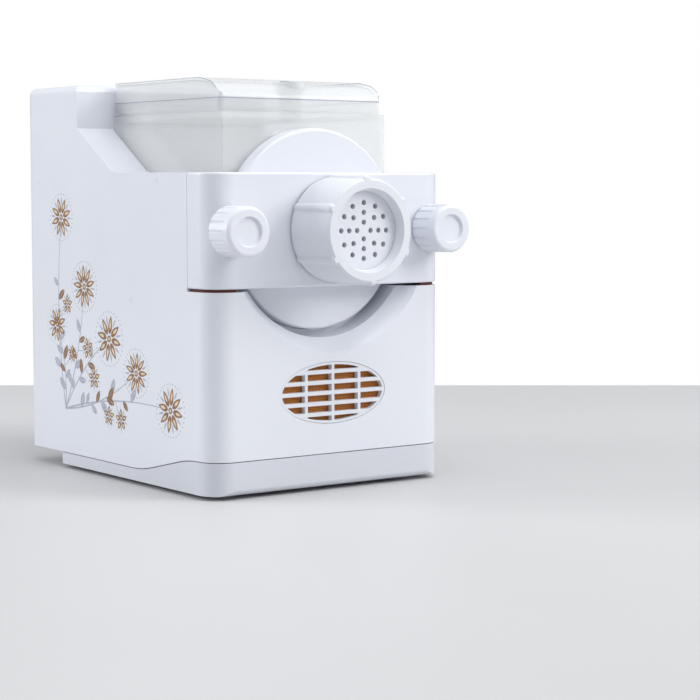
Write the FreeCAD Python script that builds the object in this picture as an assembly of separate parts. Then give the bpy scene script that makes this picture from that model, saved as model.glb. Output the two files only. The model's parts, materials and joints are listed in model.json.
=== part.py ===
import FreeCAD, Part
import math
import os

from FreeCAD import Vector

# An electric pasta maker. Sizes are in millimetres. While a piece is built, X runs to the right seen from
# the front, Y runs back from the front panel's face and Z up from the table; save() moves the origin to
# the middle of the footprint.

# Housing
HALF_WIDTH = 99.25
REAR_Y = 264.75
FRONT_CORNER_R = 18.0
REAR_CORNER_R = 14.0
WALL = 2.5
SHOULDER_Z = 219.4
TOWER_TOP_Z = 283.2
TOWER_FRONT_Y = 181.0
TOWER_BACK_R = 14.0
TOWER_EDGE_R = 5.0
SLOPE_START_Y = 130.0
SLOPE_DROP = 31.2
SLOPE_END_Z = TOWER_TOP_Z - SLOPE_DROP
SLOPE_START_R = 25.0
LEDGE_Z = 139.6
BULKHEAD_Y = 30.0
SEAM_FRONT_Z = 26.0
SEAM_BEND_Y = 30.0
SEAM_REAR_Z = 12.0
SEAM_LOW_Y = 92.0
SEAM_R = 110.0
SEAM_GAP = 0.6
FLOOR_LEDGE = 21.25
FLOOR_OPENING_HALF = HALF_WIDTH - FLOOR_LEDGE
FLOOR_OPENING_Y = (22.0, 205.0)

# Working axis, shared by bowl, auger, outlet and drive
AXIS_Z = 180.4
SCOOP_R = 75.0
SCOOP_FLARE = 9.4
SCOOP_FLARE_DEPTH = 12.0

# Base and feet
TRAY_REAR_Y = 218.0
TRAY_BOTTOM_Z = 3.0
TRAY_WALL = 3.0
TRAY_FLOOR = 2.5
FOOT_R = 9.0
FOOT_SINK = 1.0
FOOT_INSET = 23.25
FOOT_X = HALF_WIDTH - FOOT_INSET
FOOT_Y = (24.0, 196.0)
SCREW_HEAD_R = 3.4
SCREW_R = 1.8
SCREW_INSET = 13.25
SCREW_X = HALF_WIDTH - SCREW_INSET
SCREW_Y = (46.0, 176.0)

# Front vent
VENT_Z = 68.0
VENT_HALF_WIDTH = 44.5
VENT_HALF_HEIGHT = 21.2
VENT_RIM = 1.8
VENT_FACE_Y = 0.3
VENT_THICK = 2.6
VENT_FLANGE = 4.0
VENT_FLANGE_THICK = 1.4
VENT_BARS = 5
VENT_PITCH = 7.3
VENT_BAR = 2.7
VENT_POST_X = 22.5
VENT_POST = 2.2
FILTER_THICK = 4.0

# Front panel
PANEL_BOTTOM_Z = 141.6
PANEL_DEPTH = 29.5
PANEL_WALL = 3.0
PANEL_EDGE_R = 1.5
DISC_R = 69.7
DISC_FACE_Y = 19.4
DISC_REAR_Y = 31.4
KNOB_INSET = 14.25
KNOB_X = HALF_WIDTH - KNOB_INSET
STUD_R = 4.0
STUD_TIP_Y = -19.0
STUD_CLEARANCE = 0.4
PANEL_BOSS_R = 9.0

# Outlet, die and nut
BARREL_BORE_R = 24.0
BARREL_R = 30.0
BARREL_FLANGE_R = 36.0
BARREL_FLANGE_THICK = 3.4
BARREL_TIP_Y = -30.0
DIE_R = 29.4
DIE_THICK = 5.0
DIE_HOLE_R = 1.85
DIE_HOLES = (12, 8, 4)
DIE_RING_R = (18.8, 12.2, 5.6)
NUT_FRONT_Y = -43.05
NUT_REAR_Y = -1.5
NUT_R = 35.2
NUT_RIDGES = 6
NUT_RIDGE_R = 3.6
NUT_RIDGE_REACH = 37.2
NUT_FIRST_RIDGE = 34.0
NUT_MOUTH_R = 28.4
NUT_LIP_R = 26.4
NUT_LIP_THICK = 1.6
NUT_CHAMFER = 1.6

# Knobs
KNOB_FRONT_Y = -24.7
KNOB_REAR_Y = -0.6
KNOB_R = 16.7
KNOB_RECESS_R = 10.2
KNOB_RECESS_DEPTH = 2.0
KNOB_RING = 7.0
KNOB_GROOVES = 16
KNOB_GROOVE_R = 1.1
KNOB_CAP_THICK = 3.0
INSERT_R = 7.0

# Mixing bowl and lid
BOWL_R = 68.9
BOWL_FRONT_Y = 32.4
BOWL_WALL = 2.2
BOWL_RIM_Z = 261.0
BOWL_MOUTH_R = 62.0
BOWL_CLEARANCE = 0.6
GASKET_R = (63.0, 67.5)
LID_FRONT_Y = 36.4
LID_TOP_Z = 285.0
LID_WALL = 2.0
LID_SEAT = 0.3
LID_LIP = 4.0
LID_LIP_WALL = 1.6
LID_CORNER_R = 4.0
SPOUT_Y = 52.0
SPOUT_R = 8.0
SPOUT_WALL = 1.6
SPOUT_BOTTOM_Z = 254.0
MAGNET = (8.0, 4.0, 8.0)
MAGNET_INSET = 1.9
REED_SWITCH = (14.0, 8.0, 10.0)
REED_OFFSET = 6.0

# Auger
AUGER_CORE_R = 8.5
FLIGHT_R = 23.2
FLIGHT_PITCH = 22.0
FLIGHT_THICK = 4.0
FLIGHT_REAR_Y = 44.0
FLIGHT_FRONT_Y = -25.0
PADDLE_R = 61.0
PADDLE_THICK = 6.0
PADDLE_WIDTH = 11.0
PADDLE_Y = (64.0, 168.0)
PADDLE_TWIST = 24.0
HUB_R = 12.0
HUB_LENGTH = 34.0
DRIVE_SQUARE = 10.0
DRIVE_CLEARANCE = 0.3
DRIVE_DEPTH = 24.0

# Gear train
MOTOR_Z = 68.0
FIRST_MODULE = 1.5
PINION_TEETH = 12
WHEEL_TEETH = 60
SECOND_MODULE = 1.75
SECOND_PINION_TEETH = 13
OUTPUT_TEETH = 56
TOOTH_FILL = 0.80
FIRST_STAGE_Y = 190.0
SECOND_STAGE_Y = 201.0
GEAR_WIDTH = 8.0
SHAFT_R = 4.0
OUTPUT_SHAFT_R = 8.0
RUNNING_CLEARANCE = 0.05
GEARBOX_PLATE = 3.0
GEARBOX_REAR_Y = 215.0
GEARBOX_HALF = 57.0
GEARBOX_BOTTOM_Z = 58.0
GEARBOX_TOP_Z = 238.0
GEARBOX_POST_R = 4.0
BEARING_R = 14.0
BEARING_THICK = 6.0
GEAR_WEB = 5.0
GEAR_RIM = 5.0
GEAR_HUB_R = 11.0
GEAR_HOLES = 6

# Motor
MOTOR_R = 30.0
MOTOR_Y = (72.0, 150.0)
MOTOR_WALL = 2.0
STATOR_GAP = 0.8
ROTOR_R = 17.0
MOTOR_BUSH_R = 9.0
MOTOR_BUSH_LENGTH = 6.0
FAN_R = 26.0
FAN_Y = (56.0, 66.0)
FAN_BLADES = 9
SADDLE_Y = (84.0, 134.0)
SADDLE_THICK = 5.0
SADDLE_HALF = 38.0

# Controls
PANEL_TOP_HALF = 68.0
PANEL_TOP_Y = (202.0, 244.0)
PANEL_TOP_THICK = 1.4
BUTTON_X = (-52.0, -31.0, 31.0, 52.0)
BUTTON_R = 6.5
BUTTON_PROUD = 0.8
BUTTON_FLANGE = 1.4
BUTTON_STEM = 8.0
BUTTON_GAP = 0.3
BUTTON_TRAVEL = 1.5
WINDOW_HALF = (17.0, 9.0)
BOARD_THICK = 1.6
BOARD_POST_R = 2.5

# Mains side
INLET_X = 58.0
INLET_Z = 44.0
INLET_HALF = (14.0, 11.0)
INLET_DEPTH = 24.0
INLET_CAVITY_HALF = (11.6, 8.4)
INLET_CAVITY_DEPTH = 16.0
INLET_PIN = (1.0, 2.0, 12.0)
REAR_SLOTS = 7
REAR_SLOT_HALF = 34.0
REAR_SLOT_HEIGHT = 3.0
REAR_SLOT_PITCH = 8.0
REAR_SLOT_Z = 120.0

SEAT = 0.3
BIG = 400.0
DEPTH_CENTRE = (REAR_Y + NUT_FRONT_Y) / 2


def rounded(corners, place):
    """A face whose corners (a, b, radius) are joined by straight runs and tangent arcs."""
    count = len(corners)
    stops = []
    for i in range(count):
        a, b, radius = corners[i]
        point = Vector(a, b, 0)
        before = Vector(corners[i - 1][0], corners[i - 1][1], 0) - point
        after = Vector(corners[(i + 1) % count][0], corners[(i + 1) % count][1], 0) - point
        before.normalize()
        after.normalize()
        if radius == 0:
            stops.append((point, None, point))
            continue
        half = before.getAngle(after) / 2
        reach = radius / math.tan(half)
        middle = before + after
        middle.normalize()
        inner = point + middle * (radius / math.sin(half) - radius)
        stops.append((point + before * reach, inner, point + after * reach))
    edges = []
    for i in range(count):
        start, inner, end = stops[i]
        previous = stops[i - 1][2]
        if (start - previous).Length > 1e-6:
            edges.append(Part.makeLine(place(previous.x, previous.y), place(start.x, start.y)))
        if inner is not None:
            arc = Part.Arc(place(start.x, start.y), place(inner.x, inner.y), place(end.x, end.y))
            edges.append(arc.toShape())
    return Part.Face(Part.Wire(edges))


def side_solid(corners, half=BIG / 2):
    """A side view, drawn as (Y, Z), extruded across the width."""
    face = rounded(corners, lambda y, z: Vector(-half, y, z))
    return face.extrude(Vector(2 * half, 0, 0))


def plan_solid(corners, z0, z1):
    """A top view, drawn as (X, Y), extruded upwards."""
    face = rounded(corners, lambda x, y: Vector(x, y, z0))
    return face.extrude(Vector(0, 0, z1 - z0))


def front_solid(corners, y0, y1):
    """A front view, drawn as (X, Z), extruded to the rear."""
    face = rounded(corners, lambda x, z: Vector(x, y0, z))
    return face.extrude(Vector(0, y1 - y0, 0))


def box(x, y, z):
    """A block from its limits along X, Y and Z."""
    return Part.makeBox(x[1] - x[0], y[1] - y[0], z[1] - z[0], Vector(x[0], y[0], z[0]))


def rod_y(x, z, radius, y0, y1):
    """A round bar along Y."""
    return Part.makeCylinder(radius, y1 - y0, Vector(x, y0, z), Vector(0, 1, 0))


def rod_z(x, y, radius, z0, z1):
    """A round bar along Z."""
    return Part.makeCylinder(radius, z1 - z0, Vector(x, y, z0))


def ring_y(x, z, outer, inner, y0, y1):
    """A round tube along Y."""
    return rod_y(x, z, outer, y0, y1).cut(rod_y(x, z, inner, y0 - 1, y1 + 1))


def turned(points, x, z):
    """A turned piece: points (y, radius) about an axis along Y through x, z."""
    corners = [Vector(x, y, z + radius) for y, radius in points]
    face = Part.Face(Part.makePolygon(corners + corners[:1]))
    return face.revolve(Vector(x, 0, z), Vector(0, 1, 0), 360)


def fused(pieces):
    """Pieces joined into one, with shared faces merged."""
    return pieces[0].multiFuse(pieces[1:]).removeSplitter()


def footprint(inset, y0, y1, front_r, rear_r):
    """Plan corners of a rounded rectangle, pulled in by inset."""
    half = HALF_WIDTH - inset
    front = max(front_r - inset, 0.5)
    rear = max(rear_r - inset, 0.5)
    return [
        (-half, y0 + inset, front),
        (half, y0 + inset, front),
        (half, y1 - inset, rear),
        (-half, y1 - inset, rear),
    ]


def seam_corners(drop):
    """The line between housing and base, seen from the side, from the front to the rear."""
    return [
        (0.0, SEAM_FRONT_Z - drop, 0),
        (SEAM_BEND_Y, SEAM_FRONT_Z - drop, SEAM_R),
        (SEAM_LOW_Y, SEAM_REAR_Z - drop, SEAM_R),
    ]


def housing_profile(inset):
    """Side view of the housing, pulled in by inset on every side."""
    slope = math.atan((SLOPE_END_Z - SHOULDER_Z) / (TOWER_FRONT_Y - SLOPE_START_Y))
    front_y = TOWER_FRONT_Y + inset
    slope_end = SHOULDER_Z + (front_y - SLOPE_START_Y) * math.tan(slope) - inset / math.cos(slope)
    lower = seam_corners(-inset)
    lower[0] = (inset, SEAM_FRONT_Z + inset, 0)
    rear = REAR_Y - inset
    return lower + [
        (rear, SEAM_REAR_Z + inset, 3.0),
        (rear, TOWER_TOP_Z - inset, TOWER_BACK_R - inset),
        (front_y, TOWER_TOP_Z - inset, 0),
        (front_y, slope_end, 0),
        (SLOPE_START_Y + inset * math.tan(slope / 2), SHOULDER_Z - inset, SLOPE_START_R),
        (BULKHEAD_Y + inset, SHOULDER_Z - inset, 0),
        (BULKHEAD_Y + inset, LEDGE_Z - inset, 0),
        (inset, LEDGE_Z - inset, 0),
    ]


def housing_block(inset):
    """The housing as a solid block, pulled in by inset."""
    plan = footprint(inset, 0.0, REAR_Y, FRONT_CORNER_R, REAR_CORNER_R)
    return side_solid(housing_profile(inset)).common(plan_solid(plan, 0.0, BIG))


def trough(radius, y0, y1, top=BIG):
    """A U-shaped channel about the working axis, open to the top."""
    round_part = rod_y(0.0, AXIS_Z, radius, y0, y1)
    upper = box((-radius, radius), (y0, y1), (AXIS_Z, top))
    return round_part.fuse(upper)


def ellipse_solid(half_width, half_height, y0, y1, z):
    """An elliptic plug along Y, centred on the middle plane."""
    major = Vector(half_width, y0, z)
    minor = Vector(0, y0, z + half_height)
    curve = Part.Ellipse(major, minor, Vector(0, y0, z))
    face = Part.Face(Part.Wire([curve.toShape()]))
    return face.extrude(Vector(0, y1 - y0, 0))


def tower_edges(block):
    """The tower's upper side and front edges, and the upright front corners above the slope."""
    chosen = []
    for edge in block.Edges:
        limits = edge.BoundBox
        on_top = limits.ZMin > TOWER_TOP_Z - 0.01 and limits.XLength + limits.YLength > 10
        if on_top and limits.YMin < REAR_Y - TOWER_BACK_R - 0.5:
            chosen.append(edge)
    return chosen


def control_recess():
    """The seat of the control panel in the tower's top wall, and the window below it."""
    ledge_half = PANEL_TOP_HALF - 3.0
    y0, y1 = PANEL_TOP_Y
    seat = plan_solid(panel_outline(SEAT), TOWER_TOP_Z - PANEL_TOP_THICK - 0.1, BIG)
    window = box((-ledge_half, ledge_half), (y0 + 3, y1 - 3), (TOWER_TOP_Z - 2 * WALL, BIG))
    return seat.fuse(window)


def panel_outline(grow):
    """Plan of the control panel, grown by a clearance."""
    half = PANEL_TOP_HALF + grow
    y0 = PANEL_TOP_Y[0] - grow
    y1 = PANEL_TOP_Y[1] + grow
    return [(-half, y0, 6.0), (half, y0, 6.0), (half, y1, 6.0), (-half, y1, 6.0)]


def rear_slots():
    """Air slots through the rear wall."""
    slots = []
    for i in range(REAR_SLOTS):
        z = REAR_SLOT_Z + (i - (REAR_SLOTS - 1) / 2) * REAR_SLOT_PITCH
        low = z - REAR_SLOT_HEIGHT / 2
        slots.append(
            box(
                (-REAR_SLOT_HALF, REAR_SLOT_HALF),
                (REAR_Y - 2 * WALL, REAR_Y + 1),
                (low, low + REAR_SLOT_HEIGHT),
            )
        )
    return slots


def body_shell():
    """Moulded housing: lower front with a scoop, shoulders, rear tower and a cradle for the bowl."""
    block = housing_block(0.0)
    block = block.makeFillet(TOWER_EDGE_R, tower_edges(block))
    hollow = block.cut(housing_block(WALL))
    cradle_r = BOWL_R + BOWL_CLEARANCE
    cradle = trough(cradle_r + WALL, BULKHEAD_Y, TOWER_FRONT_Y + WALL, SHOULDER_Z + 40).common(block)
    scoop_r = SCOOP_R + SCOOP_FLARE + WALL
    scoop = rod_y(0.0, AXIS_Z, scoop_r, 0.0, BULKHEAD_Y + WALL).common(block)
    shell = fused([hollow, cradle, scoop])
    boss = rod_y(0.0, AXIS_Z, PANEL_BOSS_R, BULKHEAD_Y, BULKHEAD_Y + 10)
    for side in (-1, 1):
        place = Vector(side * KNOB_X, 0, 0)
        shell = shell.fuse(boss.translated(place))
    slope = SCOOP_FLARE / SCOOP_FLARE_DEPTH
    flare = Part.makeCone(
        SCOOP_R + SCOOP_FLARE + slope,
        SCOOP_R - slope,
        SCOOP_FLARE_DEPTH + 2,
        Vector(0, -1, AXIS_Z),
        Vector(0, 1, 0),
    )
    floor = box((-FLOOR_OPENING_HALF, FLOOR_OPENING_HALF), FLOOR_OPENING_Y, (-1, SEAM_FRONT_Z + 2 * WALL))
    cuts = [
        trough(cradle_r, BULKHEAD_Y - 1, TOWER_FRONT_Y),
        trough(SCOOP_R, -1, BULKHEAD_Y + WALL),
        flare,
        floor,
        ellipse_solid(VENT_HALF_WIDTH + SEAT, VENT_HALF_HEIGHT + SEAT, -1, 2 * WALL, VENT_Z),
        rod_y(0.0, AXIS_Z, BEARING_R + SEAT, TOWER_FRONT_Y - 1, TOWER_FRONT_Y + 2 * WALL),
        control_recess(),
        box(
            (INLET_X - INLET_HALF[0] - 0.2, INLET_X + INLET_HALF[0] + 0.2),
            (REAR_Y - 2 * WALL, REAR_Y + 1),
            (INLET_Z - INLET_HALF[1] - 0.2, INLET_Z + INLET_HALF[1] + 0.2),
        ),
    ]
    for side in (-1, 1):
        cuts.append(rod_y(side * KNOB_X, AXIS_Z, STUD_R, BULKHEAD_Y - 1, BULKHEAD_Y + 8))
        for y in SCREW_Y:
            cuts.append(rod_z(side * SCREW_X, y, SCREW_R, 0, 40))
    for cut in cuts + rear_slots():
        shell = shell.cut(cut)
    return shell.removeSplitter()


def base_tray():
    """Shallow tray under the housing, with a curved upper edge, screw posts and foot sockets."""
    seam = seam_corners(SEAM_GAP)
    outline = seam + [
        (TRAY_REAR_Y, SEAM_REAR_Z - SEAM_GAP, 0),
        (TRAY_REAR_Y, TRAY_BOTTOM_Z, 3.0),
        (0.0, TRAY_BOTTOM_Z, 4.0),
    ]
    plan = footprint(0.0, 0.0, TRAY_REAR_Y, FRONT_CORNER_R, 12.0)
    block = side_solid(outline).common(plan_solid(plan, 0.0, BIG))
    inside = footprint(TRAY_WALL, 0.0, TRAY_REAR_Y, FRONT_CORNER_R, 12.0)
    tray = block.cut(plan_solid(inside, TRAY_BOTTOM_Z + TRAY_FLOOR, BIG))
    posts = []
    for side in (-1, 1):
        for y in SCREW_Y:
            posts.append(rod_z(side * SCREW_X, y, SCREW_HEAD_R + 2, TRAY_BOTTOM_Z, BIG).common(block))
    tray = fused([tray] + posts)
    for side in (-1, 1):
        for y in SCREW_Y:
            tray = tray.cut(rod_z(side * SCREW_X, y, SCREW_R, 0, BIG))
            tray = tray.cut(rod_z(side * SCREW_X, y, SCREW_HEAD_R + 0.1, 0, TRAY_BOTTOM_Z + 2.2))
        for y in FOOT_Y:
            tray = tray.cut(rod_z(side * FOOT_X, y, FOOT_R, 0, TRAY_BOTTOM_Z + FOOT_SINK))
    return tray


def feet():
    """Four rubber feet set into the tray."""
    pads = []
    for side in (-1, 1):
        for y in FOOT_Y:
            pad = rod_z(side * FOOT_X, y, FOOT_R, 0, TRAY_BOTTOM_Z + FOOT_SINK)
            lower = [edge for edge in pad.Edges if edge.BoundBox.ZMax < 0.01]
            pads.append(pad.makeChamfer(0.8, lower))
    return Part.makeCompound(pads)


def base_screws():
    """Screws that pull the housing down onto the tray."""
    screws = []
    for side in (-1, 1):
        for y in SCREW_Y:
            head = rod_z(side * SCREW_X, y, SCREW_HEAD_R, TRAY_BOTTOM_Z + 0.2, TRAY_BOTTOM_Z + 2.2)
            shank = rod_z(side * SCREW_X, y, SCREW_R, TRAY_BOTTOM_Z + 2.2, TRAY_BOTTOM_Z + 14)
            screws.append(head.fuse(shank))
    return Part.makeCompound(screws)


def vent_grille():
    """Oval grille: a rim and flange with level bars and upright posts between the slots."""
    rear = VENT_FACE_Y + VENT_THICK
    plug = ellipse_solid(VENT_HALF_WIDTH, VENT_HALF_HEIGHT, VENT_FACE_Y, rear, VENT_Z)
    flange = ellipse_solid(
        VENT_HALF_WIDTH + VENT_FLANGE,
        VENT_HALF_HEIGHT + VENT_FLANGE,
        WALL + 0.1,
        rear + VENT_FLANGE_THICK,
        VENT_Z,
    )
    rim_half = VENT_HALF_WIDTH - VENT_RIM
    rim_height = VENT_HALF_HEIGHT - VENT_RIM
    opening = ellipse_solid(rim_half, rim_height, VENT_FACE_Y - 1, rear + 2 * VENT_FLANGE_THICK, VENT_Z)
    bars = []
    for i in range(VENT_BARS):
        z = VENT_Z + (i - (VENT_BARS - 1) / 2) * VENT_PITCH
        bars.append(box((-BIG, BIG), (-BIG, BIG), (z - VENT_BAR / 2, z + VENT_BAR / 2)))
    for x in (-VENT_POST_X, 0.0, VENT_POST_X):
        bars.append(box((x - VENT_POST / 2, x + VENT_POST / 2), (-BIG, BIG), (-BIG, BIG)))
    for bar in bars:
        opening = opening.cut(bar)
    return plug.fuse(flange).cut(opening).removeSplitter()


def vent_filter():
    """Porous pad behind the grille, held in its own thin frame."""
    front = VENT_FACE_Y + VENT_THICK + VENT_FLANGE_THICK + SEAT
    return ellipse_solid(
        VENT_HALF_WIDTH + VENT_FLANGE - 1,
        VENT_HALF_HEIGHT + VENT_FLANGE - 1,
        front,
        front + FILTER_THICK,
        VENT_Z,
    )


def knob_studs():
    """Two studs that stand out of the housing and carry the front panel's knobs."""
    studs = []
    for side in (-1, 1):
        stud = turned(
            [
                (STUD_TIP_Y, 0),
                (STUD_TIP_Y, STUD_R - 0.8),
                (STUD_TIP_Y + 0.8, STUD_R),
                (BULKHEAD_Y + 8, STUD_R),
                (BULKHEAD_Y + 8, 0),
            ],
            side * KNOB_X,
            AXIS_Z,
        )
        studs.append(stud)
    return Part.makeCompound(studs)


def front_panel():
    """Crossbar with rounded ends, the round bowl cover behind it, and bosses for the studs."""
    plan = footprint(0.0, 0.0, BIG, FRONT_CORNER_R, 1.0)
    inner = footprint(PANEL_WALL, 0.0, BIG, FRONT_CORNER_R, 1.0)
    depth = box((-BIG, BIG), (-1, PANEL_DEPTH), (0, BIG))
    bar = plan_solid(plan, PANEL_BOTTOM_Z, SHOULDER_Z).common(depth)
    ends = (0.0, SHOULDER_Z), (0.0, PANEL_BOTTOM_Z)
    bar = bar.makeFillet(PANEL_EDGE_R, front_edges(bar, ends))
    pocket = plan_solid(inner, PANEL_BOTTOM_Z + PANEL_WALL, SHOULDER_Z - PANEL_WALL).common(depth)
    pieces = [bar.cut(pocket)]
    disc = rod_y(0.0, AXIS_Z, DISC_R, DISC_FACE_Y, DISC_REAR_Y)
    rims = [edge for edge in disc.Edges if edge.BoundBox.YMax < DISC_FACE_Y + 0.01]
    pieces.append(disc.makeFillet(2.0, rims))
    for side in (-1, 1):
        pieces.append(rod_y(side * KNOB_X, AXIS_Z, PANEL_BOSS_R, PANEL_WALL - 0.5, PANEL_DEPTH))
    panel = fused(pieces)
    holes = [
        rod_y(0.0, AXIS_Z, BARREL_R + 0.1, -1, DISC_REAR_Y + 1),
        rod_y(0.0, AXIS_Z, BARREL_FLANGE_R + 0.1, DISC_REAR_Y - BARREL_FLANGE_THICK, DISC_REAR_Y + 1),
    ]
    for side in (-1, 1):
        holes.append(rod_y(side * KNOB_X, AXIS_Z, STUD_R + STUD_CLEARANCE, -1, PANEL_DEPTH + 1))
    for hole in holes:
        panel = panel.cut(hole)
    return panel


def front_edges(bar, levels):
    """The long upper and lower front edges of the crossbar, with their rounded ends."""
    chosen = []
    for edge in bar.Edges:
        limits = edge.BoundBox
        level = any(abs(limits.ZMin - z) < 0.01 and limits.ZLength < 0.01 for _, z in levels)
        if level and limits.YMin < FRONT_CORNER_R and limits.YMax < PANEL_DEPTH + 0.01:
            if limits.YLength > 1 or limits.YMax < 0.01:
                chosen.append(edge)
    return [edge for edge in chosen if edge.BoundBox.XLength > 0.01 or edge.BoundBox.YLength > 1]


def outlet_barrel():
    """Extrusion barrel through the front panel, flanged behind the bowl cover."""
    flange_front = DISC_REAR_Y - BARREL_FLANGE_THICK
    groove = 1.2
    points = [(DISC_REAR_Y, BARREL_BORE_R), (BARREL_TIP_Y, BARREL_BORE_R), (BARREL_TIP_Y, BARREL_R - 1)]
    y = BARREL_TIP_Y + 2
    while y < NUT_REAR_Y - 7:
        points += [(y, BARREL_R - groove), (y + 1.5, BARREL_R), (y + 3, BARREL_R), (y + 4.5, BARREL_R - groove)]
        y += 6.0
    points += [(NUT_REAR_Y, BARREL_R), (flange_front, BARREL_R)]
    points += [(flange_front, BARREL_FLANGE_R), (DISC_REAR_Y, BARREL_FLANGE_R)]
    return turned(points, 0.0, AXIS_Z)


def bowl_gasket():
    """Flat seal between the bowl cover and the bowl's front rim."""
    return ring_y(0.0, AXIS_Z, GASKET_R[1], GASKET_R[0], DISC_REAR_Y, BOWL_FRONT_Y)


def pasta_die():
    """Drilled die plate with rings of round holes."""
    rear = BARREL_TIP_Y - SEAT
    plate = turned(
        [(rear, 0), (rear - DIE_THICK, 0), (rear - DIE_THICK, DIE_R - 1), (rear - DIE_THICK + 1, DIE_R), (rear, DIE_R)],
        0.0,
        AXIS_Z,
    )
    drills = []
    for count, radius in zip(DIE_HOLES, DIE_RING_R):
        for i in range(count):
            angle = 2 * math.pi * i / count + math.pi / 2
            x = radius * math.cos(angle)
            z = AXIS_Z + radius * math.sin(angle)
            drills.append(rod_y(x, z, DIE_HOLE_R, rear - DIE_THICK - 1, rear + 1))
    return plate.cut(Part.makeCompound(drills))


def die_nut():
    """Ribbed union nut that clamps the die to the barrel."""
    lip_rear = BARREL_TIP_Y - SEAT - DIE_THICK - SEAT
    lip_front = lip_rear - NUT_LIP_THICK
    bore = BARREL_R + SEAT
    points = [
        (NUT_REAR_Y, bore),
        (lip_rear, bore),
        (lip_rear, NUT_LIP_R),
        (lip_front, NUT_LIP_R),
        (NUT_FRONT_Y, NUT_MOUTH_R),
        (NUT_FRONT_Y, NUT_R - NUT_CHAMFER),
        (NUT_FRONT_Y + NUT_CHAMFER, NUT_R),
        (NUT_REAR_Y, NUT_R + 0.8),
    ]
    body = turned(points, 0.0, AXIS_Z)
    reach = NUT_RIDGE_REACH - NUT_RIDGE_R
    ridges = []
    for i in range(NUT_RIDGES):
        angle = math.radians(NUT_FIRST_RIDGE) + 2 * math.pi * i / NUT_RIDGES
        x = reach * math.cos(angle)
        z = AXIS_Z + reach * math.sin(angle)
        ridge = rod_y(x, z, NUT_RIDGE_R, NUT_FRONT_Y + NUT_CHAMFER, NUT_REAR_Y)
        tip = Part.makeCone(
            NUT_RIDGE_R - NUT_CHAMFER, NUT_RIDGE_R, NUT_CHAMFER, Vector(x, NUT_FRONT_Y, z), Vector(0, 1, 0)
        )
        ridges.append(ridge.fuse(tip))
    bore_cut = rod_y(0.0, AXIS_Z, bore, lip_rear, 0)
    mouth = Part.makeCone(
        NUT_MOUTH_R, NUT_LIP_R, lip_front - NUT_FRONT_Y, Vector(0, NUT_FRONT_Y, AXIS_Z), Vector(0, 1, 0)
    )
    return fused([body] + ridges).cut(bore_cut).cut(mouth)


def knob(side):
    """Thumb knob: plain front ring, grooved grip behind it and a dished face."""
    x = side * KNOB_X
    floor_y = KNOB_FRONT_Y + KNOB_RECESS_DEPTH
    points = [
        (KNOB_REAR_Y, INSERT_R),
        (floor_y + KNOB_CAP_THICK, INSERT_R),
        (floor_y + KNOB_CAP_THICK, 0),
        (floor_y, 0),
        (floor_y, KNOB_RECESS_R - 1),
        (KNOB_FRONT_Y, KNOB_RECESS_R),
        (KNOB_FRONT_Y, KNOB_R - 2),
        (KNOB_FRONT_Y + 0.6, KNOB_R - 0.8),
        (KNOB_FRONT_Y + 2, KNOB_R),
        (KNOB_REAR_Y - 1, KNOB_R + 0.3),
        (KNOB_REAR_Y, KNOB_R - 0.6),
    ]
    body = turned(points, x, AXIS_Z)
    grooves = []
    for i in range(KNOB_GROOVES):
        angle = 2 * math.pi * i / KNOB_GROOVES
        reach = KNOB_R + 0.45
        gx = x + reach * math.cos(angle)
        gz = AXIS_Z + reach * math.sin(angle)
        grooves.append(rod_y(gx, gz, KNOB_GROOVE_R, KNOB_FRONT_Y + KNOB_RING, 1))
    return body.cut(Part.makeCompound(grooves))


def knob_insert(side):
    """Metal insert pressed into a knob, which runs on the stud."""
    rear = KNOB_REAR_Y
    front = KNOB_FRONT_Y + KNOB_RECESS_DEPTH + KNOB_CAP_THICK
    bore = rod_y(side * KNOB_X, AXIS_Z, STUD_R + SEAT, STUD_TIP_Y - 0.5, rear + 1)
    return rod_y(side * KNOB_X, AXIS_Z, INSERT_R, front, rear).cut(bore)


def mixing_bowl():
    """Clear U-shaped bowl with a round mouth in front and a shaft hole behind."""
    outer = trough(BOWL_R, BOWL_FRONT_Y, TOWER_FRONT_Y - BOWL_CLEARANCE, BOWL_RIM_Z)
    rear = TOWER_FRONT_Y - BOWL_CLEARANCE - BOWL_WALL
    inner = trough(BOWL_R - BOWL_WALL, BOWL_FRONT_Y + BOWL_WALL, rear, BIG)
    mouth = rod_y(0.0, AXIS_Z, BOWL_MOUTH_R, BOWL_FRONT_Y - 1, BOWL_FRONT_Y + 2 * BOWL_WALL)
    hole = rod_y(0.0, AXIS_Z, BEARING_R, rear - 1, TOWER_FRONT_Y)
    return outer.cut(inner).cut(mouth).cut(hole)


def shaft_seal():
    """Lip seal in the bowl's rear wall, round the drive shaft."""
    front = TOWER_FRONT_Y - BOWL_CLEARANCE - BOWL_WALL
    ring = ring_y(0.0, AXIS_Z, BEARING_R, OUTPUT_SHAFT_R + SEAT, front - 1, TOWER_FRONT_Y - BOWL_CLEARANCE)
    lip = ring_y(0.0, AXIS_Z, BEARING_R + 2, OUTPUT_SHAFT_R + SEAT, front - 2, front)
    return ring.fuse(lip).removeSplitter()


def lid_profile(inset):
    """Side view of the lid, rounded off towards the front."""
    front = LID_FRONT_Y + inset
    top = LID_TOP_Z - inset
    rear = TOWER_FRONT_Y - BOWL_CLEARANCE - inset
    bottom = BOWL_RIM_Z + LID_SEAT
    return [
        (front, bottom - (LID_SEAT if inset else 0.0), 0),
        (front, top - 11.0 + 0.4 * inset, 6.0 - inset),
        (front + 10.6 - 0.4 * inset, top - 3.5 + 0.2 * inset, 18.0),
        (front + 28.0, top, 38.0),
        (rear, top, 3.0 - inset),
        (rear, bottom - (LID_SEAT if inset else 0.0), 0),
    ]


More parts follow.
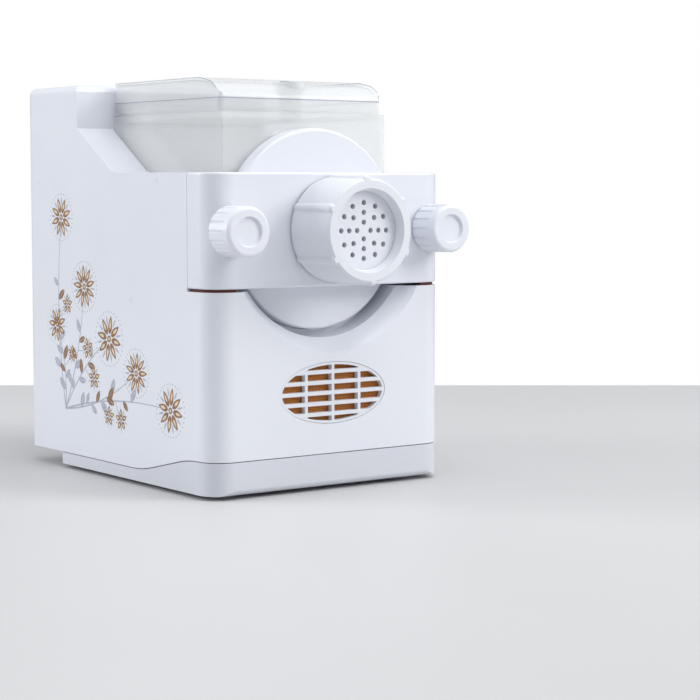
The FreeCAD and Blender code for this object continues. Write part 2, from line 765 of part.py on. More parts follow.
def lid_plan(inset):
    """Top view of the lid."""
    half = BOWL_R - inset
    y0 = LID_FRONT_Y + inset
    y1 = TOWER_FRONT_Y - BOWL_CLEARANCE - inset
    radius = max(LID_CORNER_R - inset, 0.6)
    return [(-half, y0, radius), (half, y0, radius), (half, y1, radius), (-half, y1, radius)]


def bowl_lid():
    """Clear lid with a locating lip inside the bowl's rim and a filling spout near the front."""
    outer = side_solid(lid_profile(0.0)).common(plan_solid(lid_plan(0.0), 0.0, BIG))
    inner = side_solid(lid_profile(LID_WALL)).common(plan_solid(lid_plan(LID_WALL), 0.0, BIG))
    lip_top = BOWL_RIM_Z + LID_SEAT + LID_LIP_WALL
    lip_out = plan_solid(lid_plan(BOWL_WALL + SEAT), BOWL_RIM_Z - LID_LIP, lip_top)
    shelf = plan_solid(lid_plan(LID_WALL / 2), BOWL_RIM_Z + LID_SEAT, lip_top)
    lip_in = plan_solid(lid_plan(BOWL_WALL + SEAT + LID_LIP_WALL), BOWL_RIM_Z - LID_LIP - 1, lip_top + 1)
    spout = rod_z(0.0, SPOUT_Y, SPOUT_R, SPOUT_BOTTOM_Z, BIG).common(outer.fuse(spout_space()))
    bore = rod_z(0.0, SPOUT_Y, SPOUT_R - SPOUT_WALL, 0, BIG)
    lip = lip_out.fuse(shelf).cut(lip_in)
    return outer.cut(inner).fuse(lip).fuse(spout).cut(bore)


def spout_space():
    """The space inside the bowl that the spout may reach."""
    return box((-SPOUT_R, SPOUT_R), (SPOUT_Y - SPOUT_R, SPOUT_Y + SPOUT_R), (SPOUT_BOTTOM_Z, BOWL_RIM_Z + 3))


def along_axis(shape):
    """Turns a piece built along Z, towards the front, onto the working axis."""
    shape = shape.copy()
    shape.rotate(Vector(0, 0, 0), Vector(1, 0, 0), 90)
    shape.translate(Vector(0, 0, AXIS_Z))
    return shape


def flight():
    """Helical screw flight about the core."""
    height = FLIGHT_REAR_Y - FLIGHT_FRONT_Y - FLIGHT_THICK
    start = -FLIGHT_REAR_Y + FLIGHT_THICK / 2
    helix = Part.makeHelix(FLIGHT_PITCH, height, FLIGHT_R)
    helix.translate(Vector(0, 0, start))
    inside = AUGER_CORE_R - 1.5
    half = FLIGHT_THICK / 2
    corners = [
        Vector(inside, 0, start - half),
        Vector(FLIGHT_R, 0, start - half * 0.7),
        Vector(FLIGHT_R, 0, start + half * 0.7),
        Vector(inside, 0, start + half),
    ]
    section = Part.makePolygon(corners + corners[:1])
    return Part.Wire(helix.Edges).makePipeShell([section], True, True)


def paddle(angle):
    """Mixing frame: two arms and a twisted bar that sweeps the bowl's wall."""
    y0, y1 = PADDLE_Y
    half = PADDLE_THICK / 2
    arms = []
    sections = []
    for y, turn in ((y0, -PADDLE_TWIST / 2), (y1, PADDLE_TWIST / 2)):
        arm = box((0, PADDLE_R - half), (-half, half), (-y - PADDLE_WIDTH / 2, -y + PADDLE_WIDTH / 2))
        arm.rotate(Vector(0, 0, 0), Vector(0, 0, 1), turn)
        arms.append(arm)
        reach = y1 + PADDLE_WIDTH / 2 if y == y1 else y0 - PADDLE_WIDTH / 2
        corners = [
            Vector(PADDLE_R - PADDLE_WIDTH, -half, -reach),
            Vector(PADDLE_R, -half, -reach),
            Vector(PADDLE_R, half, -reach),
            Vector(PADDLE_R - PADDLE_WIDTH, half, -reach),
        ]
        section = Part.makePolygon(corners + corners[:1])
        section.rotate(Vector(0, 0, 0), Vector(0, 0, 1), turn)
        sections.append(section)
    bar = Part.makeLoft(sections, True, True)
    frame = fused(arms + [bar])
    frame.rotate(Vector(0, 0, 0), Vector(0, 0, 1), angle)
    return frame


def auger():
    """Kneading shaft: core, two paddles, hub with a square socket and the screw that feeds the die."""
    rear_y = TOWER_FRONT_Y - BOWL_CLEARANCE - BOWL_WALL - 2.5
    front_y = FLIGHT_FRONT_Y - 1.5
    core = Part.makeCylinder(AUGER_CORE_R, rear_y - front_y, Vector(0, 0, -rear_y))
    hub = Part.makeCylinder(HUB_R, HUB_LENGTH, Vector(0, 0, -rear_y))
    half = DRIVE_SQUARE / 2 + DRIVE_CLEARANCE
    socket = box((-half, half), (-half, half), (-rear_y - 1, -rear_y + DRIVE_DEPTH + 1))
    shape = core.fuse(flight())
    shape = shape.fuse(hub)
    for angle in (0.0, 180.0):
        shape = shape.fuse(paddle(angle))
    return along_axis(shape.cut(socket))


def shaft_places():
    """Centres (x, z) of the motor, middle and output shafts."""
    first = FIRST_MODULE * (PINION_TEETH + WHEEL_TEETH) / 2
    second = SECOND_MODULE * (SECOND_PINION_TEETH + OUTPUT_TEETH) / 2
    rise = AXIS_Z - MOTOR_Z
    along = (first**2 - second**2 + rise**2) / (2 * rise)
    across = math.sqrt(first**2 - along**2)
    return (0.0, MOTOR_Z), (across, MOTOR_Z + along), (0.0, AXIS_Z)


def direction(start, end):
    """Angle from one shaft to another, in the X, Z plane."""
    return math.atan2(end[1] - start[1], end[0] - start[0])


def spur(teeth, module, centre, phase, y0, bore):
    """Spur gear with straight-sided teeth, one of them centred on the angle phase."""
    pitch_r = module * teeth / 2
    tip_r = pitch_r + 0.85 * module
    root_r = pitch_r - 1.15 * module
    half = math.pi * module / 4 * TOOTH_FILL
    at_tip = (half - 0.29 * module) / tip_r
    at_root = (half + 0.16 * module) / root_r
    points = []
    for i in range(teeth):
        middle = phase + 2 * math.pi * i / teeth
        for radius, angle in ((root_r, -at_root), (tip_r, -at_tip), (tip_r, at_tip), (root_r, at_root)):
            x = centre[0] + radius * math.cos(middle + angle)
            z = centre[1] + radius * math.sin(middle + angle)
            points.append(Vector(x, y0, z))
    blank = Part.Face(Part.makePolygon(points + points[:1])).extrude(Vector(0, GEAR_WIDTH, 0))
    return blank.cut(rod_y(centre[0], centre[1], bore, y0 - 1, y0 + GEAR_WIDTH + 1)), root_r


def lightened(gear, root_r, centre, y0):
    """A wheel with a thinned web, a hub and a ring of round holes."""
    rim = root_r - GEAR_RIM
    dish = (GEAR_WIDTH - GEAR_WEB) / 2
    for side in (y0 - 1, y0 + GEAR_WIDTH - dish):
        gear = gear.cut(ring_y(centre[0], centre[1], rim, GEAR_HUB_R, side, side + dish + 1))
    hole_r = (rim - GEAR_HUB_R) / 4
    reach = (rim + GEAR_HUB_R) / 2
    for i in range(GEAR_HOLES):
        angle = 2 * math.pi * i / GEAR_HOLES
        x = centre[0] + reach * math.cos(angle)
        z = centre[1] + reach * math.sin(angle)
        gear = gear.cut(rod_y(x, z, hole_r, y0 - 1, y0 + GEAR_WIDTH + 1))
    return gear


def motor_pinion():
    """Small gear on the motor shaft."""
    motor, middle, _ = shaft_places()
    gear, _ = spur(PINION_TEETH, FIRST_MODULE, motor, direction(motor, middle), FIRST_STAGE_Y, SHAFT_R)
    return gear


def middle_wheel():
    """Large gear of the first stage."""
    motor, middle, _ = shaft_places()
    phase = direction(middle, motor) + math.pi / WHEEL_TEETH
    gear, root_r = spur(WHEEL_TEETH, FIRST_MODULE, middle, phase, FIRST_STAGE_Y, SHAFT_R)
    return lightened(gear, root_r, middle, FIRST_STAGE_Y)


def middle_pinion():
    """Small gear of the second stage."""
    _, middle, output = shaft_places()
    gear, _ = spur(
        SECOND_PINION_TEETH, SECOND_MODULE, middle, direction(middle, output), SECOND_STAGE_Y, SHAFT_R
    )
    return gear


def output_wheel():
    """Large gear of the second stage."""
    _, middle, output = shaft_places()
    phase = direction(output, middle) + math.pi / OUTPUT_TEETH
    gear, root_r = spur(OUTPUT_TEETH, SECOND_MODULE, output, phase, SECOND_STAGE_Y, OUTPUT_SHAFT_R)
    return lightened(gear, root_r, output, SECOND_STAGE_Y)


def middle_shaft():
    """Shaft between the gearbox plates."""
    _, middle, _ = shaft_places()
    front = TOWER_FRONT_Y + WALL + SEAT
    rear = GEARBOX_REAR_Y + GEARBOX_PLATE
    return rod_y(middle[0], middle[1], SHAFT_R, front, rear)


def output_shaft():
    """Drive shaft with a square nose that the auger's socket fits over."""
    hub_rear = TOWER_FRONT_Y - BOWL_CLEARANCE - BOWL_WALL - 2.5
    round_part = rod_y(0.0, AXIS_Z, OUTPUT_SHAFT_R, hub_rear + 1, GEARBOX_REAR_Y + GEARBOX_PLATE)
    half = DRIVE_SQUARE / 2
    nose = box((-half, half), (hub_rear - DRIVE_DEPTH, hub_rear + 2), (AXIS_Z - half, AXIS_Z + half))
    return round_part.fuse(nose).removeSplitter()


def output_bearing():
    """Bearing of the drive shaft, seated in the front gearbox plate."""
    front = TOWER_FRONT_Y
    return ring_y(0.0, AXIS_Z, BEARING_R, OUTPUT_SHAFT_R + RUNNING_CLEARANCE, front, front + BEARING_THICK)


def gearbox_plate_outline():
    """Front view of the gearbox plates."""
    half = GEARBOX_HALF
    return [
        (-half * 0.55, GEARBOX_BOTTOM_Z, 8.0),
        (half * 0.55, GEARBOX_BOTTOM_Z, 8.0),
        (half, AXIS_Z - half, 12.0),
        (half, GEARBOX_TOP_Z, 12.0),
        (-half, GEARBOX_TOP_Z, 12.0),
        (-half, AXIS_Z - half, 12.0),
    ]


def gearbox_posts():
    """Centres (x, z) of the pillars between the gearbox plates."""
    low = GEARBOX_BOTTOM_Z + 8
    high = GEARBOX_TOP_Z - 8
    return [
        (-GEARBOX_HALF * 0.55 + 7, low),
        (GEARBOX_HALF * 0.55 - 7, low),
        (-GEARBOX_HALF + 8, high),
        (GEARBOX_HALF - 8, high),
    ]


def gearbox_front_plate():
    """Front plate of the gearbox with the pillars that carry the rear plate."""
    motor, middle, output = shaft_places()
    front = TOWER_FRONT_Y + WALL
    rear = front + GEARBOX_PLATE
    plate = front_solid(gearbox_plate_outline(), front, rear)
    posts = [rod_y(x, z, GEARBOX_POST_R, rear - 0.5, GEARBOX_REAR_Y) for x, z in gearbox_posts()]
    plate = fused([plate] + posts)
    plate = plate.cut(rod_y(motor[0], motor[1], MOTOR_BUSH_R, front - 1, rear + 1))
    plate = plate.cut(rod_y(middle[0], middle[1], SHAFT_R + RUNNING_CLEARANCE, front - 1, rear + 1))
    return plate.cut(rod_y(output[0], output[1], BEARING_R, front - 1, rear + 1))


def gearbox_rear_plate():
    """Rear plate of the gearbox, with the shafts' rear bores."""
    _, middle, output = shaft_places()
    rear = GEARBOX_REAR_Y + GEARBOX_PLATE
    plate = front_solid(gearbox_plate_outline(), GEARBOX_REAR_Y, rear)
    bores = (
        (middle, SHAFT_R + RUNNING_CLEARANCE),
        (output, OUTPUT_SHAFT_R + RUNNING_CLEARANCE),
    )
    for place, radius in bores:
        plate = plate.cut(rod_y(place[0], place[1], radius, GEARBOX_REAR_Y - 1, rear + 1))
    return plate


def motor_can():
    """Pressed motor case with an end bell and open rear for the windings' air."""
    y0, y1 = MOTOR_Y
    outer = rod_y(0.0, MOTOR_Z, MOTOR_R, y0, y1)
    ends = [edge for edge in outer.Edges if edge.BoundBox.YLength < 0.01]
    outer = outer.makeChamfer(2.0, ends)
    inner = rod_y(0.0, MOTOR_Z, MOTOR_R - MOTOR_WALL, y0 + MOTOR_WALL, y1 - MOTOR_WALL)
    can = outer.cut(inner)
    can = can.cut(rod_y(0.0, MOTOR_Z, MOTOR_BUSH_R, y0 - 1, y1 + 1))
    reach = (MOTOR_R + MOTOR_BUSH_R) / 2
    for i in range(6):
        angle = math.pi * i / 3
        x = reach * math.cos(angle)
        z = MOTOR_Z + reach * math.sin(angle)
        can = can.cut(rod_y(x, z, 4.0, y0 - 1, y1 + 1))
    return can


def motor_bushes():
    """Two plain bearings in the motor's end walls."""
    y0, y1 = MOTOR_Y
    bore = SHAFT_R + RUNNING_CLEARANCE
    front = ring_y(0.0, MOTOR_Z, MOTOR_BUSH_R, bore, y0, y0 + MOTOR_BUSH_LENGTH)
    rear = ring_y(0.0, MOTOR_Z, MOTOR_BUSH_R, bore, y1 - MOTOR_BUSH_LENGTH, y1)
    return Part.makeCompound([front, rear])


def motor_stator():
    """Stator ring with its windings, inside the case."""
    y0 = MOTOR_Y[0] + 14
    y1 = MOTOR_Y[1] - 14
    return ring_y(0.0, MOTOR_Z, MOTOR_R - MOTOR_WALL, ROTOR_R + STATOR_GAP, y0, y1)


def motor_rotor():
    """Rotor core on its shaft, which reaches back into the gearbox."""
    y0 = MOTOR_Y[0] + 16
    y1 = MOTOR_Y[1] - 16
    shaft = rod_y(0.0, MOTOR_Z, SHAFT_R, FAN_Y[0], FIRST_STAGE_Y + GEAR_WIDTH)
    return rod_y(0.0, MOTOR_Z, ROTOR_R, y0, y1).fuse(shaft).removeSplitter()


def cooling_fan():
    """Radial fan on the motor's front shaft end."""
    y0, y1 = FAN_Y
    plate = rod_y(0.0, MOTOR_Z, FAN_R, y1 - 1.5, y1)
    hub = rod_y(0.0, MOTOR_Z, SHAFT_R + 4, y0, y1)
    pieces = [plate, hub]
    for i in range(FAN_BLADES):
        blade = box((SHAFT_R + 3, FAN_R - 0.5), (y0, y1 - 1), (-0.8, 0.8))
        blade.rotate(Vector(0, 0, 0), Vector(0, 1, 0), 360.0 * i / FAN_BLADES)
        blade.translate(Vector(0, 0, MOTOR_Z))
        pieces.append(blade)
    fan = fused(pieces)
    return fan.cut(rod_y(0.0, MOTOR_Z, SHAFT_R, y0 - 1, y1 + 1))


def motor_bracket():
    """Two saddles on a foot plate that hold the motor above the tray."""
    floor_z = TRAY_BOTTOM_Z + TRAY_FLOOR
    pieces = [box((-SADDLE_HALF, SADDLE_HALF), SADDLE_Y, (floor_z, floor_z + 3))]
    for y in SADDLE_Y:
        corners = [
            (-SADDLE_HALF, floor_z, 0),
            (SADDLE_HALF, floor_z, 0),
            (SADDLE_HALF * 0.95, MOTOR_Z, 0),
            (-SADDLE_HALF * 0.95, MOTOR_Z, 0),
        ]
        pieces.append(front_solid(corners, y - SADDLE_THICK / 2, y + SADDLE_THICK / 2))
    bracket = fused(pieces)
    return bracket.cut(rod_y(0.0, MOTOR_Z, MOTOR_R, 0, TRAY_REAR_Y))


def control_panel():
    """Cover plate of the controls, flush with the tower's top."""
    top = TOWER_TOP_Z - 0.1
    plate = plan_solid(panel_outline(0.0), top - PANEL_TOP_THICK, top)
    middle = sum(PANEL_TOP_Y) / 2
    for x in BUTTON_X:
        plate = plate.cut(rod_z(x, middle, BUTTON_R + SEAT, 0, BIG))
    half_x, half_y = WINDOW_HALF
    return plate.cut(box((-half_x, half_x), (middle - half_y, middle + half_y), (0, BIG)))


def display_window():
    """Dark window set into the control panel."""
    top = TOWER_TOP_Z - 0.1
    middle = sum(PANEL_TOP_Y) / 2
    half_x, half_y = WINDOW_HALF
    return box((-half_x, half_x), (middle - half_y, middle + half_y), (top - PANEL_TOP_THICK, top - 0.1))


def button(x):
    """Push button with a flange that holds it below the control panel."""
    middle = sum(PANEL_TOP_Y) / 2
    underside = TOWER_TOP_Z - 0.1 - PANEL_TOP_THICK
    top = TOWER_TOP_Z + BUTTON_PROUD
    flange_top = underside - BUTTON_GAP
    flange_bottom = flange_top - BUTTON_FLANGE
    cap = rod_z(x, middle, BUTTON_R, flange_bottom, top)
    rim = [edge for edge in cap.Edges if edge.BoundBox.ZMin > top - 0.01]
    cap = cap.makeChamfer(0.5, rim)
    flange = rod_z(x, middle, BUTTON_R + 1.5, flange_bottom, flange_top)
    stem = rod_z(x, middle, 2.0, flange_bottom - BUTTON_STEM, flange_bottom + 0.5)
    return fused([cap, flange, stem])


def button_board():
    """Board with a key switch under each button, hung from the tower's top wall by posts."""
    middle = sum(PANEL_TOP_Y) / 2
    underside = TOWER_TOP_Z - 0.1 - PANEL_TOP_THICK
    stem_end = underside - BUTTON_GAP - BUTTON_FLANGE - BUTTON_STEM
    switch_top = stem_end - BUTTON_TRAVEL - SEAT
    top = switch_top - 4.0
    half = PANEL_TOP_HALF + 2
    pieces = [box((-half, half), (middle - 14, middle + 14), (top - BOARD_THICK, top))]
    for x in BUTTON_X:
        pieces.append(box((x - 4, x + 4), (middle - 4, middle + 4), (top - 0.1, switch_top)))
    for side in (-1, 1):
        for y in (middle - 10, middle + 10):
            post = rod_z(side * (PANEL_TOP_HALF - 0.4), y, BOARD_POST_R, top - 0.1, TOWER_TOP_Z - WALL)
            pieces.append(post)
    return fused(pieces)


def circuit_board():
    """Power board on four standoffs from the rear wall."""
    y = REAR_Y - WALL - 10
    pieces = [box((-60, 60), (y - BOARD_THICK, y), (160, 250))]
    for x in (-54, 54):
        for z in (166, 244):
            pieces.append(rod_y(x, z, 3.0, y - 0.1, REAR_Y - WALL))
    return fused(pieces)


def board_components():
    """Capacitor, relay and heat sink on the power board."""
    y = REAR_Y - WALL - 10 - BOARD_THICK
    capacitor = rod_y(-36, 190, 11.0, y - 24, y)
    relay = box((-10, 14), (y - 16, y), (172, 190))
    sink = box((26, 50), (y - 20, y), (196, 236))
    for x in (30.0, 36.0, 42.0):
        sink = sink.cut(box((x, x + 3), (y - 21, y - 4), (195, 237)))
    return Part.makeCompound([capacitor, relay, sink])


def inlet_limits(half, y0, y1):
    """A block centred on the mains inlet."""
    return box((INLET_X - half[0], INLET_X + half[0]), (y0, y1), (INLET_Z - half[1], INLET_Z + half[1]))


def power_inlet():
    """Mains inlet with three blades in a socket and a flange inside the rear wall."""
    rear = REAR_Y - 0.2
    shell = inlet_limits(INLET_HALF, rear - INLET_DEPTH, rear)
    flange_half = (INLET_HALF[0] + 5, INLET_HALF[1] + 2)
    flange = inlet_limits(flange_half, REAR_Y - WALL - 2.5, REAR_Y - WALL - 0.1)
    socket = inlet_limits(INLET_CAVITY_HALF, rear - INLET_CAVITY_DEPTH, rear + 1)
    body = shell.fuse(flange).cut(socket)
    half_x, half_z, length = INLET_PIN
    floor_y = rear - INLET_CAVITY_DEPTH
    for dx, dz in ((-7.0, -2.0), (0.0, 2.0), (7.0, -2.0)):
        x = INLET_X + dx
        z = INLET_Z + dz
        blade = box((x - half_x, x + half_x), (floor_y - 1, floor_y + length), (z - half_z, z + half_z))
        body = body.fuse(blade)
    return body.removeSplitter()


def magnet_centre():
    """Centre (x, z) of the lid's magnet, beside the lid's left wall and on its lip."""
    x = -(BOWL_R - LID_WALL - MAGNET_INSET - MAGNET[0] / 2)
    return x, BOWL_RIM_Z + LID_SEAT + LID_LIP_WALL + 0.1 + MAGNET[2] / 2


def block_at(centre, size, y0):
    """A block of a size (x, y, z), centred on x, z and starting at y0."""
    x, z = centre
    return box((x - size[0] / 2, x + size[0] / 2), (y0, y0 + size[1]), (z - size[2] / 2, z + size[2] / 2))


def lid_switch():
    """Reed switch behind the tower's front wall that feels the lid's magnet."""
    x, z = magnet_centre()
    return block_at((x - REED_OFFSET, z), REED_SWITCH, TOWER_FRONT_Y + WALL)


def lid_magnet():
    """Magnet in the lid's rear edge, facing the reed switch."""
    rear = TOWER_FRONT_Y - BOWL_CLEARANCE - LID_WALL
    return block_at(magnet_centre(), MAGNET, rear - MAGNET[1])


def save(name, shape):
    """Writes one piece, with its origin moved to the middle of the footprint."""
    moved = shape.copy()
    moved.translate(Vector(0, -DEPTH_CENTRE, 0))
    moved.exportStep("parts/" + name + ".step")
    volume = sum(solid.Volume for solid in moved.Solids)
    print(name, len(moved.Solids), "solids", round(volume), "mm3", "ok" if moved.isValid() else "INVALID")


def main():
    os.makedirs("parts", exist_ok=True)
    pieces = {
        "body_shell": body_shell(),
        "base_tray": base_tray(),
        "feet": feet(),
        "base_screws": base_screws(),
        "vent_grille": vent_grille(),
        "vent_filter": vent_filter(),
        "knob_studs": knob_studs(),
        "front_panel": front_panel(),
        "outlet_barrel": outlet_barrel(),
        "bowl_gasket": bowl_gasket(),
        "pasta_die": pasta_die(),
        "die_nut": die_nut(),
        "knob_left": knob(-1),
        "knob_right": knob(1),
        "knob_insert_left": knob_insert(-1),
        "knob_insert_right": knob_insert(1),
        "mixing_bowl": mixing_bowl(),
        "shaft_seal": shaft_seal(),
        "bowl_lid": bowl_lid(),
        "lid_magnet": lid_magnet(),
        "lid_switch": lid_switch(),
        "auger": auger(),
        "motor_pinion": motor_pinion(),
        "middle_wheel": middle_wheel(),
        "middle_pinion": middle_pinion(),
        "output_wheel": output_wheel(),
        "middle_shaft": middle_shaft(),
        "output_shaft": output_shaft(),
        "output_bearing": output_bearing(),
        "gearbox_front_plate": gearbox_front_plate(),
        "gearbox_rear_plate": gearbox_rear_plate(),
        "motor_can": motor_can(),
        "motor_bushes": motor_bushes(),
        "motor_stator": motor_stator(),
        "motor_rotor": motor_rotor(),
        "cooling_fan": cooling_fan(),
        "motor_bracket": motor_bracket(),
        "control_panel": control_panel(),
        "display_window": display_window(),
        "button_board": button_board(),
        "circuit_board": circuit_board(),
        "board_components": board_components(),
        "power_inlet": power_inlet(),
    }
    for number, x in enumerate(BUTTON_X, start=1):
        pieces["button_" + str(number)] = button(x)
    for name, shape in pieces.items():
        save(name, shape)


main()
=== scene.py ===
import json
import math
import random

import bmesh
import bpy
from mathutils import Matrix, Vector


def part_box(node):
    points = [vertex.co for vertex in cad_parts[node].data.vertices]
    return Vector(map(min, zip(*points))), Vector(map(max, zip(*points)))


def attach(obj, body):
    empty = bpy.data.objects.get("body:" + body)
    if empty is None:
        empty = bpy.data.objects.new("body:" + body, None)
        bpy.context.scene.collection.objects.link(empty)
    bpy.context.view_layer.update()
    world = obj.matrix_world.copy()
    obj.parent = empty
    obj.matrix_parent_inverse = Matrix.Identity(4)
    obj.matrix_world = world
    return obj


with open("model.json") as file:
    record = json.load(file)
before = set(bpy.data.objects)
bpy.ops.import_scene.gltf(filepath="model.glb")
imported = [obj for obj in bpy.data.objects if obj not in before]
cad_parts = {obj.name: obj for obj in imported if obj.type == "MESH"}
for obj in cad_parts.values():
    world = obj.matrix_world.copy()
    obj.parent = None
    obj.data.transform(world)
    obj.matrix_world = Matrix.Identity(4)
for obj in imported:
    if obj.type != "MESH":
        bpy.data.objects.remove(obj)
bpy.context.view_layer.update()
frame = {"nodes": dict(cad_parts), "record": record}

# Sizes are in metres, in the frame's own axes: -Y is the front, +Z is up.
MM = 0.001

NODES = frame["nodes"]
SHELL_LOW, SHELL_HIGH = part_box("body_shell")
LID_LOW, LID_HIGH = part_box("bowl_lid")
FRONT_Y = SHELL_LOW[1]


def linear(red, green, blue):
    """A screen colour of 0 to 255 as linear RGBA."""
    def channel(value):
        value /= 255
        return value / 12.92 if value <= 0.04045 else ((value + 0.055) / 1.055) ** 2.4
    return (channel(red), channel(green), channel(blue), 1.0)


def shaded(colour, factor):
    """A colour made darker or lighter by a factor."""
    return tuple(min(c * factor, 1.0) for c in colour[:3]) + (1.0,)


class Surface:
    """A node material under construction, round one Principled shader."""

    def __init__(self, name, **sockets):
        self.material = bpy.data.materials.new(name)
        self.material.use_nodes = True
        self.tree = self.material.node_tree
        self.shader = self.tree.nodes["Principled BSDF"]
        for key, value in sockets.items():
            self.shader.inputs[key.replace("_", " ")].default_value = value
        self.coordinates = self.add("ShaderNodeTexCoord").outputs["Object"]

    def add(self, kind, **settings):
        """A new node with the settings given."""
        node = self.tree.nodes.new(kind)
        for key, value in settings.items():
            setattr(node, key, value)
        return node

    def link(self, source, target):
        """Joins an output to an input."""
        self.tree.links.new(source, target)

    def noise(self, scale, detail=3.0, roughness=0.5, stretch=None):
        """Noise in the object's own coordinates, drawn out along an axis by stretch."""
        node = self.add("ShaderNodeTexNoise")
        node.inputs["Scale"].default_value = scale
        node.inputs["Detail"].default_value = detail
        node.inputs["Roughness"].default_value = roughness
        source = self.coordinates
        if stretch:
            mapping = self.add("ShaderNodeMapping")
            mapping.inputs["Scale"].default_value = stretch
            self.link(source, mapping.inputs["Vector"])
            source = mapping.outputs["Vector"]
        self.link(source, node.inputs["Vector"])
        return node.outputs["Fac"]

    def remap(self, source, low, high, start=0.3, end=0.7):
        """A value stretched from start and end to low and high."""
        node = self.add("ShaderNodeMapRange")
        for key, value in (("From Min", start), ("From Max", end), ("To Min", low), ("To Max", high)):
            node.inputs[key].default_value = value
        self.link(source, node.inputs["Value"])
        return node.outputs["Result"]

    def tint(self, source, colours, stops=(0.3, 0.7)):
        """Colours the surface by a ramp between two colours."""
        ramp = self.add("ShaderNodeValToRGB")
        for element, position, colour in zip(ramp.color_ramp.elements, stops, colours):
            element.position = position
            element.color = colour
        self.link(source, ramp.inputs["Fac"])
        self.link(ramp.outputs["Color"], self.shader.inputs["Base Color"])

    def rough(self, source, low, high):
        """Varies the roughness between low and high."""
        self.link(self.remap(source, low, high), self.shader.inputs["Roughness"])

    def bump(self, source, strength, distance):
        """Ripples the surface by a height in metres."""
        node = self.add("ShaderNodeBump")
        node.inputs["Strength"].default_value = strength
        node.inputs["Distance"].default_value = distance
        self.link(source, node.inputs["Height"])
        self.link(node.outputs["Normal"], self.shader.inputs["Normal"])


def moulded(name, colour, roughness, coat=0.0, spread=0.985):
    """Moulded plastic: faint mottling, uneven gloss and a fine surface ripple."""
    surface = Surface(name, IOR=1.5, Coat_Weight=coat, Coat_Roughness=0.12)
    surface.tint(surface.noise(14.0, detail=4.0), (shaded(colour, spread), colour))
    surface.rough(surface.noise(45.0, detail=5.0, roughness=0.6), roughness * 0.85, roughness * 1.2)
    surface.bump(surface.noise(900.0, detail=2.0), strength=0.25, distance=0.02 * MM)
    return surface.material


def clear_plastic(name, alpha, colour):
    """Polished clear plastic with a milky cast and light scuffs."""
    surface = Surface(name, IOR=1.49, Transmission_Weight=0.1, Alpha=alpha)
    surface.tint(surface.noise(9.0), (shaded(colour, 0.975), colour))
    surface.rough(surface.noise(70.0, detail=6.0, roughness=0.7), 0.04, 0.1)
    surface.bump(surface.noise(120.0, detail=2.0), strength=0.1, distance=0.02 * MM)
    return surface.material


def metal(name, colour, roughness, stretch):
    """Turned or rolled metal with fine lines along its working direction."""
    surface = Surface(name, Metallic=1.0, Roughness=roughness)
    lines = surface.noise(400.0, detail=4.0, roughness=0.6, stretch=stretch)
    surface.tint(lines, (shaded(colour, 0.86), colour))
    surface.rough(lines, roughness * 0.8, roughness * 1.3)
    surface.bump(lines, strength=0.3, distance=0.03 * MM)
    return surface.material


def rubber(name, colour):
    """Dull rubber with a fine grain and faint random mottling."""
    surface = Surface(name, IOR=1.45)
    surface.tint(surface.noise(60.0, detail=5.0), (shaded(colour, 0.85), shaded(colour, 1.1)))
    surface.rough(surface.noise(120.0), 0.6, 0.85)
    surface.bump(surface.noise(1500.0), strength=0.5, distance=0.05 * MM)
    return surface.material


def mesh_pad(name, colour):
    """Porous pad woven from coarse threads that cross at right angles."""
    surface = Surface(name, Roughness=0.8)
    weave = surface.add("ShaderNodeMath", operation="MAXIMUM")
    for number, direction in enumerate(("X", "Z")):
        wave = surface.add("ShaderNodeTexWave", wave_type="BANDS", bands_direction=direction)
        wave.inputs["Scale"].default_value = 260.0
        wave.inputs["Distortion"].default_value = 1.0
        surface.link(surface.coordinates, wave.inputs["Vector"])
        surface.link(wave.outputs["Fac"], weave.inputs[number])
    threads = weave.outputs["Value"]
    # Painted shade: the gaps between the threads are darker and the threads lighter, for the shade in the
    # pad's holes.
    surface.tint(threads, (shaded(colour, 0.45), shaded(colour, 1.25)), stops=(0.2, 0.8))
    surface.bump(threads, strength=0.8, distance=0.3 * MM)
    return surface.material


def board(name, colour):
    """Laminate board with faint traces under the lacquer."""
    surface = Surface(name, IOR=1.5, Coat_Weight=0.3)
    traces = surface.add("ShaderNodeTexBrick")
    traces.inputs["Scale"].default_value = 90.0
    traces.inputs["Color1"].default_value = colour
    traces.inputs["Color2"].default_value = shaded(colour, 1.25)
    traces.inputs["Mortar"].default_value = shaded(colour, 0.7)
    surface.link(surface.coordinates, traces.inputs["Vector"])
    surface.link(traces.outputs["Color"], surface.shader.inputs["Base Color"])
    surface.rough(surface.noise(80.0), 0.3, 0.5)
    return surface.material


